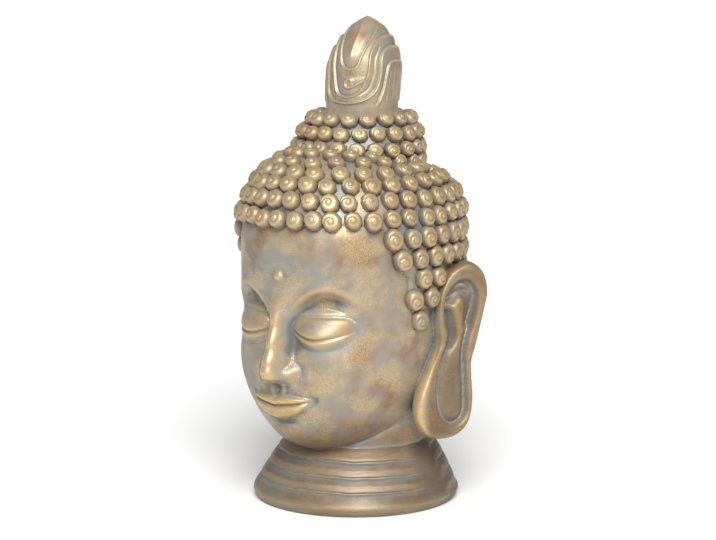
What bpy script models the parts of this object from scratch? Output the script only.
"""A cast garden statue: a Buddha head on a flared, ringed neck, with snail-shell curls and a flame finial.

Metres, +Z up. The face looks along -Y, and the origin is the centre of the flat underside. It is one
casting, so its pieces are joined into one solid. The face is carved on a plain oval in modules, which
are twelfths of its length from hairline to chin.
"""

import math

import bmesh
import bpy
from mathutils import Vector

# Driving sizes: the face
FACE_LENGTH = 0.349
CHIN_HEIGHT = 0.095
CHEEK_HALF_WIDTH = 0.150
FACE_DEPTH = 0.176

# Driving sizes: the hair and the topknot
HAIR_OVER_TEMPLE = 0.012
HAIR_OVER_BROW = 0.007
HAIR_OVER_NAPE = 0.008
CROWN_HEIGHT = 0.1225
CROWN_TILT = 0.020
TOPKNOT_RADIUS = 0.093
TOPKNOT_HEIGHT = 0.085
CURL_SPACING = 0.0315
BACK_CURL_SPACING = 0.0380
TOPKNOT_CURL_SPACING = 0.0285
CURL_HEIGHT = 0.0135
CURL_SLOPE = 0.0066

# Driving sizes: the ears
EAR_LENGTH = 0.262
EAR_DROP = 0.334
EAR_STANDOFF = 0.021
EAR_RIM = EAR_LENGTH * 10 / 262
EAR_HOLLOW = EAR_LENGTH * 7 / 262
EAR_THICKNESS = EAR_LENGTH * 18 / 262
EAR_ROOT = EAR_LENGTH * 50 / 262
EAR_BEHIND = 0.0025
EAR_LEAN = EAR_LENGTH * 22.6 / 262
EAR_SPINE = 0.02
EAR_SPINE_TOP = 0.07
EAR_SPINE_LOBE = 0.04

# Driving sizes: the neck and the base
BASE_RADIUS = 0.158
BASE_RIM = 0.016
BASE_EDGE = 0.009
NECK_RADIUS = 0.110
NECK_BACK = 0.009
NECK_IN_HEAD = 0.105
BAND_STEP = 0.003
BAND_EDGE = 0.005
BAND_SHIFT = 0.010

# Driving sizes: the flame on the topknot
FLAME_HEIGHT = 0.140
FLAME_ROOT = 0.010
FLAME_RADIUS = 0.055
FLAME_RIDGE = 0.0032
FLAME_NEST = 0.046
FLAME_TURN = math.radians(14)

# Driving sizes: how far behind the base's centre the axis runs at the crown, the topknot and the flame
CROWN_BACK = -0.013
KNOT_BACK = 0.0065
FLAME_BACK = 0.0165
TIP_BACK = 0.0300

# Shares and counts
HEAD_MERIDIANS = 40
HEAD_RINGS = 36
NECK_SIDES = 30
NECK_BANDS = 3
EAR_SIDES = 26
FLAME_RIDGES = 16
ROW_PITCH = math.sqrt(3) / 2
SUNK_SHARE = 0.5
CHEEK_LEVEL = 6.8
JAW_BOTTOM = -0.3
OVAL_POWER = 2.25

# Heights that follow
MODULE = FACE_LENGTH / 12
HAIRLINE = CHIN_HEIGHT + FACE_LENGTH
NAPE_HEIGHT = CHIN_HEIGHT + 1.25 * MODULE
CROWN_LEVEL = HAIRLINE - 1.25 * MODULE
TOPKNOT_LEVEL = CROWN_LEVEL + CROWN_HEIGHT
FLAME_SEAT = TOPKNOT_LEVEL + 0.83 * TOPKNOT_HEIGHT
HAIR_SIDE = CHEEK_HALF_WIDTH + HAIR_OVER_TEMPLE
HAIR_DEPTH = FACE_DEPTH + HAIR_OVER_BROW
NAPE_RADIUS = NECK_RADIUS + HAIR_OVER_NAPE


def clear_scene():
    """Empties the scene, so that it holds only this statue."""
    for thing in list(bpy.data.objects):
        bpy.data.objects.remove(thing, do_unlink=True)


def ease(start, end, value):
    """Rises smoothly from 0 at start to 1 at end; start may be the larger of the two."""
    share = min(max((value - start) / (end - start), 0.0), 1.0)
    return share * share * (3 - 2 * share)


def bell(offset, width):
    """A smooth hump, 1 at no offset."""
    return math.exp(-((offset / width) ** 2))


def round_off(share, power):
    """The reach left at a share of the way to the pole of a rounded form: power 2 gives an ellipse."""
    return max(0.0, 1 - min(abs(share), 1.0) ** power) ** (1 / power)


def along(points, value):
    """Reads a smooth outline, given as (place, reach) points with rising places."""
    if value <= points[0][0]:
        return points[0][1]
    for (start, low), (end, high) in zip(points, points[1:]):
        if value <= end:
            return low + (high - low) * ease(start, end, value)
    return points[-1][1]


def straight_along(points, value):
    """Reads an outline of straight stretches, given as (place, reach) points with rising places."""
    for (start, low), (end, high) in zip(points, points[1:]):
        if value <= end:
            return low + (high - low) * (value - start) / (end - start)
    return points[-1][1]


def centre_line(height):
    """How far behind the base's centre the head's axis runs at a height: it leans back towards the crown."""
    neck = (CHIN_HEIGHT, NECK_BACK)
    crown = (CROWN_LEVEL, CROWN_BACK)
    knot = (TOPKNOT_LEVEL, KNOT_BACK)
    seat = (FLAME_SEAT, FLAME_BACK)
    tip = (FLAME_SEAT + FLAME_HEIGHT, TIP_BACK)
    return along([neck, crown, knot, seat, tip], height)


# The face

def brow_line(side):
    """The height of the brow arc, in modules, at a distance from the middle."""
    return 8.72 - 0.34 * (side - 2.55) ** 2


def eye_relief(side, v):
    """The socket under the brow, and the closed lids that fill it."""
    drop = brow_line(side) - v
    inside = bell(side - 2.1, 1.75) * ease(0.3, 0.9, side)
    socket = -0.62 * ease(-0.1, 0.8, drop) * ease(3.6, 1.2, drop) * inside
    ball = 0.62 * round_off(math.hypot((side - 2.2) / 1.46, (v - 6.65) / 1.0), 2) ** 1.2
    lash = 6.22 + 0.185 * (side - 2.2) ** 2
    slit = -0.15 * bell(v - lash + 0.05, 0.14) * ease(1.4, 0.9, abs(side - 2.2))
    return socket + ball + slit


def nose_relief(side, v):
    """The straight ridge, the ball of the tip and the wings."""
    reach = along([(3.62, 0), (4.1, 1.05), (4.5, 1.40), (4.95, 1.30), (5.8, 0.98), (7.0, 0.62), (7.8, 0.46),
                   (8.6, 0.25), (9.6, 0)], v)
    width = along([(3.8, 0.80), (4.3, 0.74), (4.9, 0.66), (5.8, 0.50), (7.0, 0.43), (7.7, 0.52), (8.4, 1.0),
                   (9.4, 1.8)], v)
    ridge = reach * math.exp(-(abs(side / width) ** 2.6))
    wing = 0.80 * round_off(math.hypot((side - 0.84) / 0.47, (v - 4.40) / 0.50), 2) ** 0.9
    return max(ridge, wing)


def mouth_relief(side, v):
    """Two full lips that meet in a calm line, with the corners turned up a little."""
    offset = side / 1.85
    line = 2.72 + 0.26 * offset ** 2
    mound = 0.34 * bell(side, 2.1) * bell(v - 2.75, 1.15)
    half = round_off(offset, 1.7)
    upper = 0.34 * bell(v - line - 0.34 * half, 0.28) * half ** 0.6
    lower = 0.44 * bell(v - line + 0.46 * half, 0.34) * half ** 0.8
    parting = -0.24 * bell(v - line, 0.13) * ease(1.06, 0.85, offset)
    corner = -0.18 * bell(side - 1.9, 0.26) * bell(v - line, 0.3)
    return mound + upper + lower + parting + corner


def face_relief(u, v):
    """How far the carving stands out of the plain oval, in modules, at u aside and v above the chin."""
    side = abs(u)
    ball_of_chin = 0.46 * round_off(math.hypot(side / 1.75, (v - 0.80) / 1.15), 2) ** 1.6
    under_lip = -0.15 * bell(v - 1.72, 0.28) * bell(side, 1.15)
    cheek = 0.26 * bell(side - 3.1, 1.4) * bell(v - 4.3, 1.6)
    urna = 0.16 * round_off(math.hypot(side, v - 9.35) / 0.3, 2)
    forms = eye_relief(side, v) + nose_relief(side, v) + mouth_relief(side, v)
    return forms + ball_of_chin + under_lip + cheek + urna


def crown_reach(height):
    """The share of the widest radius that is left at a height on the crown."""
    return round_off(max(0.0, height - CROWN_LEVEL) / CROWN_HEIGHT, 2.8)


def head_point(turn, v):
    """A point of the head's oval: turn from the face's middle towards +X, v modules above the chin."""
    height = CHIN_HEIGHT + v * MODULE
    fall = max(0.0, CHEEK_LEVEL - v) / (CHEEK_LEVEL - JAW_BOTTOM)
    # The skull stays inside the hair, so it closes a little sooner
    crown = crown_reach(height + 0.3 * MODULE)
    half_width = CHEEK_HALF_WIDTH * round_off(fall, 2.3) * crown
    facing = math.cos(turn)
    if facing > 0:
        depth = FACE_DEPTH * round_off(fall, 3.4) * crown
    else:
        depth = 0.9 * FACE_DEPTH * round_off(fall, 2.3) * crown
    x = half_width * math.copysign(abs(math.sin(turn)) ** (2 / OVAL_POWER), math.sin(turn))
    y = -depth * math.copysign(abs(facing) ** (2 / OVAL_POWER), facing)
    if facing > 0:
        y -= MODULE * face_relief(x / MODULE, v) * ease(0.05, 0.45, facing)
    return Vector((x, y + centre_line(CROWN_LEVEL), height))


def head_object():
    """The head under the hair, with rings and meridians closest where the face is carved."""
    work = bmesh.new()
    bmesh.ops.create_uvsphere(work, u_segments=HEAD_MERIDIANS, v_segments=HEAD_RINGS, radius=1.0)
    top = (CROWN_LEVEL + 0.93 * CROWN_HEIGHT - CHIN_HEIGHT) / MODULE
    levels = [(0.0, JAW_BOTTOM), (0.06, 0.5), (0.13, 1.5), (0.67, 7.5), (0.82, 10.0), (0.91, 12.2), (1.0, top)]
    for corner in work.verts:
        share = 1 - math.acos(max(-1.0, min(1.0, corner.co.z))) / math.pi
        turn = math.atan2(corner.co.x, -corner.co.y)
        # Crowds the meridians towards the face
        turn -= 0.58 * math.sin(turn) + 0.08 * math.sin(2 * turn)
        v = straight_along(levels, share)
        if 0 < round(share * HEAD_RINGS) < HEAD_RINGS:
            corner.co = head_point(turn, v)
        else:
            corner.co = Vector((0, centre_line(CROWN_LEVEL), CHIN_HEIGHT + v * MODULE))
    return finished(work, "head_form", SKIN)


# The hair

def hair_reach(height, tilt=0.0):
    """The hair's ground below its curls, to the side and to the back: nape, crown and round topknot.

    The crown stands higher on one side than on the other by the tilt.
    """
    drop = (max(0.0, CROWN_LEVEL - height) / (CROWN_LEVEL - NAPE_HEIGHT)) ** 2
    side = HAIR_SIDE + (NAPE_RADIUS - HAIR_SIDE) * drop
    depth = HAIR_DEPTH + (NAPE_RADIUS - HAIR_DEPTH) * drop
    if height < CROWN_LEVEL:
        return side, depth
    crown = crown_reach(height - tilt * ease(CROWN_LEVEL, TOPKNOT_LEVEL, height))
    rise = max(0.0, height - TOPKNOT_LEVEL) / TOPKNOT_HEIGHT
    knot = TOPKNOT_RADIUS * round_off(rise, 2.2)
    return max(side * crown, knot), max(depth * crown, knot)


def hair_point(turn, height):
    """A point on the hair's ground, turned from the face's middle towards +X."""
    side, depth = hair_reach(height, CROWN_TILT * math.cos(turn))
    return Vector((side * math.sin(turn), centre_line(height) - depth * math.cos(turn), height))


def row_edges():
    """The heights of the lines between rows of curls, and the spacing of the curls in each row."""
    fine = CURL_HEIGHT / 50
    heights = [NAPE_HEIGHT]
    lengths = [0.0]
    while heights[-1] < FLAME_SEAT + FLAME_ROOT:
        slope = sum(hair_reach(heights[-1] + fine)) / 2 - sum(hair_reach(heights[-1])) / 2
        lengths.append(lengths[-1] + math.hypot(fine, slope))
        heights.append(heights[-1] + fine)

    front = HAIRLINE - ROW_PITCH * CURL_SPACING / 2
    joint = CROWN_LEVEL + 0.9 * CROWN_HEIGHT
    stops = [0.0] + [lengths[nearest(heights, height)] for height in (front, joint)] + [lengths[-1]]
    edges = []
    widths = []
    for start, end, spacing in zip(stops, stops[1:], (BACK_CURL_SPACING, CURL_SPACING, TOPKNOT_CURL_SPACING)):
        rows = max(1, round((end - start) / (ROW_PITCH * spacing)))
        edges += [start + (end - start) * k / rows for k in range(rows)]
        widths += [spacing] * rows
    edges.append(stops[-1])
    return [heights[nearest(lengths, edge)] for edge in edges], widths


def nearest(values, wanted):
    """The place of the value that lies nearest to the wanted one."""
    return min(range(len(values)), key=lambda place: abs(values[place] - wanted))


def hairline(turn):
    """The height down to which hair grows: over the brow, down the sideburns, and to the nape."""
    aside = abs(math.degrees(turn))
    brow = HAIRLINE - 0.2 * MODULE
    temple = [(56, brow), (61, brow - 0.7 * MODULE), (68, brow - 1.4 * MODULE), (73, brow - 2.5 * MODULE)]
    sideburn = [(75, brow - 5.6 * MODULE), (80, brow - 5.6 * MODULE)]
    behind_ear = [(82, brow - 4.5 * MODULE), (97, brow - 4.5 * MODULE), (108, NAPE_HEIGHT)]
    return along(temple + sideburn + behind_ear, aside)


def hair_object():
    """Rows of curls on a honeycomb: each is a raised cell, and cells off the hair sink below the skin."""
    edges, widths = row_edges()
    rows = []
    for row, (low, high, spacing) in enumerate(zip(edges, edges[1:], widths)):
        middle = (low + high) / 2
        count = max(8, round(math.pi * sum(hair_reach(middle)) / spacing))
        first = (row % 2) / 2
        turns = [math.tau * (k + first) / count - math.pi for k in range(count)]
        rows.append((middle, turns))

    work = bmesh.new()
    loops = []
    for line, height in enumerate(edges):
        corners = []
        for row in (line - 1, line):
            if 0 <= row < len(rows):
                middle, turns = rows[row]
                inside = 0 < line < len(edges) - 1
                corner_height = height - (height - middle) / 3 * inside
                for k, turn in enumerate(turns):
                    corners.append(((turn - math.pi / len(turns)) % math.tau, row, k, corner_height))
        loops.append(ring_of_corners(work, corners))
    cells = []
    for row, (middle, turns) in enumerate(rows):
        for k, turn in enumerate(turns):
            lower = stretch(loops[row], row, k, len(turns))
            upper = stretch(loops[row + 1], row, k, len(turns))
            cells.append((work.faces.new(lower + upper[::-1]), middle > hairline(turn)))
    for loop in (loops[0], loops[-1]):
        work.faces.new([corner for _, corner, _ in loop])
    curls = [cell for cell, grown in cells if grown]
    sink_bare_cells(work, curls)
    bmesh.ops.recalc_face_normals(work, faces=work.faces)
    bmesh.ops.inset_individual(work, faces=curls, thickness=CURL_SLOPE, depth=CURL_HEIGHT)
    return finished(work, "curls", GILT)


def ring_of_corners(work, corners):
    """Corners of two rows of cells, sorted round the head, as (owners, corner, turn)."""
    ring = []
    for turn, row, k, height in sorted(corners):
        if ring and turn - ring[-1][2] < 0.02:
            ring[-1][0].append((row, k))
            continue
        ring.append(([(row, k)], work.verts.new(hair_point(turn, height)), turn))
    return ring


def stretch(ring, row, k, count):
    """The corners of one cell along one of its two lines, from its own corner to the next cell's."""
    start = next(place for place, (owners, _, _) in enumerate(ring) if (row, k) in owners)
    end = next(place for place, (owners, _, _) in enumerate(ring) if (row, (k + 1) % count) in owners)
    places = [start]
    while places[-1] != end:
        places.append((places[-1] + 1) % len(ring))
    return [ring[place][1] for place in places]


def sink_bare_cells(work, curls):
    """Moves each corner that no curl needs well inside the head."""
    grown = {corner for cell in curls for corner in cell.verts}
    for corner in work.verts:
        if corner not in grown:
            height = corner.co.z
            axis = Vector((0, centre_line(height), height))
            corner.co = axis.lerp(corner.co, SUNK_SHARE)


# The ears

EAR_OUTLINE = [
    (-0.033, 0.000), (0.054, 0.018), (0.116, 0.085), (0.137, 0.220), (0.116, 0.424), (0.142, 0.538),
    (0.183, 0.741), (0.198, 0.845), (0.166, 0.955), (0.088, 1.015), (0.002, 1.000), (-0.066, 0.945),
    (-0.112, 0.835), (-0.118, 0.700), (-0.098, 0.560), (-0.150, 0.420), (-0.204, 0.240), (-0.190, 0.107),
    (-0.124, 0.022),
]


def closed_curve(points, count):
    """Evenly many points on a smooth closed curve through the given ones."""
    found = []
    size = len(points)
    for k in range(count):
        place = k * size / count
        start = int(place)
        t = place - start
        a, b, c, d = (Vector(points[(start + step) % size]) for step in (-1, 0, 1, 2))
        bend = (2 * a - 5 * b + 4 * c - d) * t * t + (3 * b - a - 3 * c + d) * t ** 3
        found.append(b + ((c - a) * t + bend) / 2)
    return found


def ear_point(across, up, out):
    """A point of the right-hand ear: across and up in shares of its length, out from its plate in metres."""
    lean = math.radians(23 + 9 * up)
    stretched = across * EAR_LENGTH * (1.1 - 0.1 * up)
    x = CHEEK_HALF_WIDTH + EAR_STANDOFF + stretched * math.sin(lean) + out * math.cos(lean)
    y = EAR_BEHIND + EAR_LEAN * up + stretched * math.cos(lean) - out * math.sin(lean)
    return Vector((x, y, HAIRLINE - EAR_DROP + EAR_LENGTH * up))


def ear_object(side):
    """One long ear: a root in the head, a rolled rim, a hollow and the raised fold inside it."""
    outline = closed_curve(EAR_OUTLINE, EAR_SIDES)
    rings = []
    profile = [
        (0.50, -EAR_ROOT), (0.10, -EAR_THICKNESS), (0.0, -EAR_THICKNESS * 0.4), (0.17, EAR_RIM),
        (0.36, EAR_RIM * 0.6), (0.48, -EAR_HOLLOW), (0.80, -EAR_HOLLOW * 0.2),
    ]
    for inward, out in profile:
        ring = []
        for edge in outline:
            up = min(max(edge.y, 0.16), 0.86)
            aside = EAR_SPINE + EAR_SPINE_TOP * ease(0.5, 0.9, up) - EAR_SPINE_LOBE * ease(0.45, 0.1, up)
            spine = Vector((aside, up))
            place = edge.lerp(spine, inward)
            point = ear_point(place.x, place.y, out)
            ring.append(Vector((point.x * side, point.y, point.z)))
        rings.append(ring)
    return loft("ear", rings, SKIN)


# The neck and the flame

def neck_object():
    """The flared base and the bands that ring the neck, set a little higher behind the ears."""
    rings = [(BASE_RADIUS - BASE_EDGE, 0.0), (BASE_RADIUS - 0.3 * BASE_EDGE, 0.3 * BASE_EDGE)]
    rings += [(BASE_RADIUS, BASE_EDGE), (flare(BASE_RIM), BASE_RIM)]
    band_height = (CHIN_HEIGHT - BASE_RIM) / (NECK_BANDS + 0.6)
    for band in range(NECK_BANDS):
        low = BASE_RIM + (band + 1) * band_height
        rings += [(flare(low) - BAND_STEP, low), (flare(low), low + BAND_EDGE)]
    top = CHIN_HEIGHT + band_height
    rings += [(NECK_RADIUS, top), (0.85 * NECK_RADIUS, CHIN_HEIGHT + NECK_IN_HEAD)]
    loops = []
    for radius, height in rings:
        shift = BAND_SHIFT * ease(BASE_RIM, BASE_RIM + band_height, height)
        back = NECK_BACK * ease(0, CHIN_HEIGHT, height)
        loop = []
        for k in range(NECK_SIDES):
            turn = math.tau * k / NECK_SIDES
            behind = ease(-0.1, -0.3, math.cos(turn))
            loop.append(Vector((radius * math.sin(turn), back - radius * math.cos(turn), height + shift * behind)))
        loops.append(loop)
    return loft("neck", loops, SKIN)


def flare(height):
    """The neck's radius between the base's rim and the chin's height, in a hollow curve."""
    rise = min(max((height - BASE_RIM) / (CHIN_HEIGHT - BASE_RIM), 0.0), 1.0)
    return NECK_RADIUS + (BASE_RADIUS - NECK_RADIUS) * (1 - rise) ** 0.85


def flame_object():
    """A bud of nested tongues: ridges that run up both sides and turn below, as in a row of Us."""
    half_ridge = math.pi * FLAME_RADIUS / FLAME_RIDGES
    nest_rings = math.floor(FLAME_NEST / half_ridge)
    heights = [FLAME_NEST - half_ridge * (nest_rings - k) for k in range(nest_rings + 1)]
    rise = FLAME_HEIGHT - FLAME_NEST
    heights += [FLAME_NEST + rise * share for share in (0.2, 0.4, 0.58, 0.74, 0.87, 0.96, 1)]
    heights = [-FLAME_ROOT] + heights
    loops = []
    for height in heights:
        turns = [math.pi * k / FLAME_RIDGES for k in range(2 * FLAME_RIDGES)]
        loops.append([flame_point(turn, height) for turn in turns])
    return loft("flame", loops, GILT)


def flame_point(turn, height):
    """A point on the bud: out on a ridge, in between two, and furthest out where a tongue ends."""
    up = height / FLAME_HEIGHT
    aside = abs((turn + math.pi / 2) % math.pi - math.pi / 2)
    below = max(0.0, FLAME_NEST - height) / FLAME_RADIUS
    nest = math.hypot(aside, below) * FLAME_RIDGES / math.tau
    tip = 1 + 1.3 * bell(up - 1.0 + 0.10 * nest, 0.08)
    ridge = FLAME_RIDGE * math.cos(math.tau * nest) * tip * ease(0.0, 0.1, up) * ease(1.0, 0.9, up)
    radius = FLAME_RADIUS * (1 - (max(0.0, up - 0.40) / 0.60) ** 2) ** 0.86 + ridge
    facing = turn + FLAME_TURN
    height += FLAME_SEAT
    return Vector((radius * math.sin(facing), centre_line(height) - radius * math.cos(facing), height))


# Making the objects

def loft(name, rings, material):
    """A closed solid through rings of equal count, with one face over each end."""
    work = bmesh.new()
    loops = [[work.verts.new(point) for point in ring] for ring in rings]
    for lower, upper in zip(loops, loops[1:]):
        for k, corner in enumerate(lower):
            after = (k + 1) % len(lower)
            work.faces.new((corner, lower[after], upper[after], upper[k]))
    work.faces.new(loops[0])
    work.faces.new(loops[-1])
    bmesh.ops.recalc_face_normals(work, faces=work.faces)
    return finished(work, name, material)


def finished(work, name, material):
    """Turns the working mesh into a smooth-shaded object with its finish."""
    mesh = bpy.data.meshes.new(name)
    work.to_mesh(mesh)
    work.free()
    mesh.shade_smooth()
    mesh.set_sharp_from_angle(angle=math.radians(40))
    mesh.materials.append(surface(*material))
    return bpy.data.objects.new(name, mesh)


SKIN = ("aged_bronze_paint", (0.33, 0.27, 0.20, 1), 0.50, 0.45)
GILT = ("rubbed_gold_paint", (0.52, 0.39, 0.20, 1), 0.42, 0.60)


def surface(name, colour, roughness, metallic):
    """One painted finish, made once and shared."""
    material = bpy.data.materials.get(name) or bpy.data.materials.new(name)
    material.use_nodes = True
    shader = material.node_tree.nodes["Principled BSDF"]
    shader.inputs["Base Color"].default_value = colour
    shader.inputs["Roughness"].default_value = roughness
    shader.inputs["Metallic"].default_value = metallic
    return material


def main():
    """Makes the forms and joins them into one casting."""
    clear_scene()
    shown = bpy.data.collections.new("buddha_head_statue")
    joined = bpy.data.collections.new("joined_forms")
    for group in (shown, joined):
        bpy.context.scene.collection.children.link(group)
    statue = head_object()
    statue.name = "buddha_head"
    shown.objects.link(statue)
    for form in (hair_object(), neck_object(), ear_object(1), ear_object(-1), flame_object()):
        joined.objects.link(form)
        form.hide_render = True
        form.display_type = "WIRE"
        join = statue.modifiers.new(form.name, "BOOLEAN")
        join.operation = "UNION"
        join.solver = "EXACT"
        join.object = form


main()
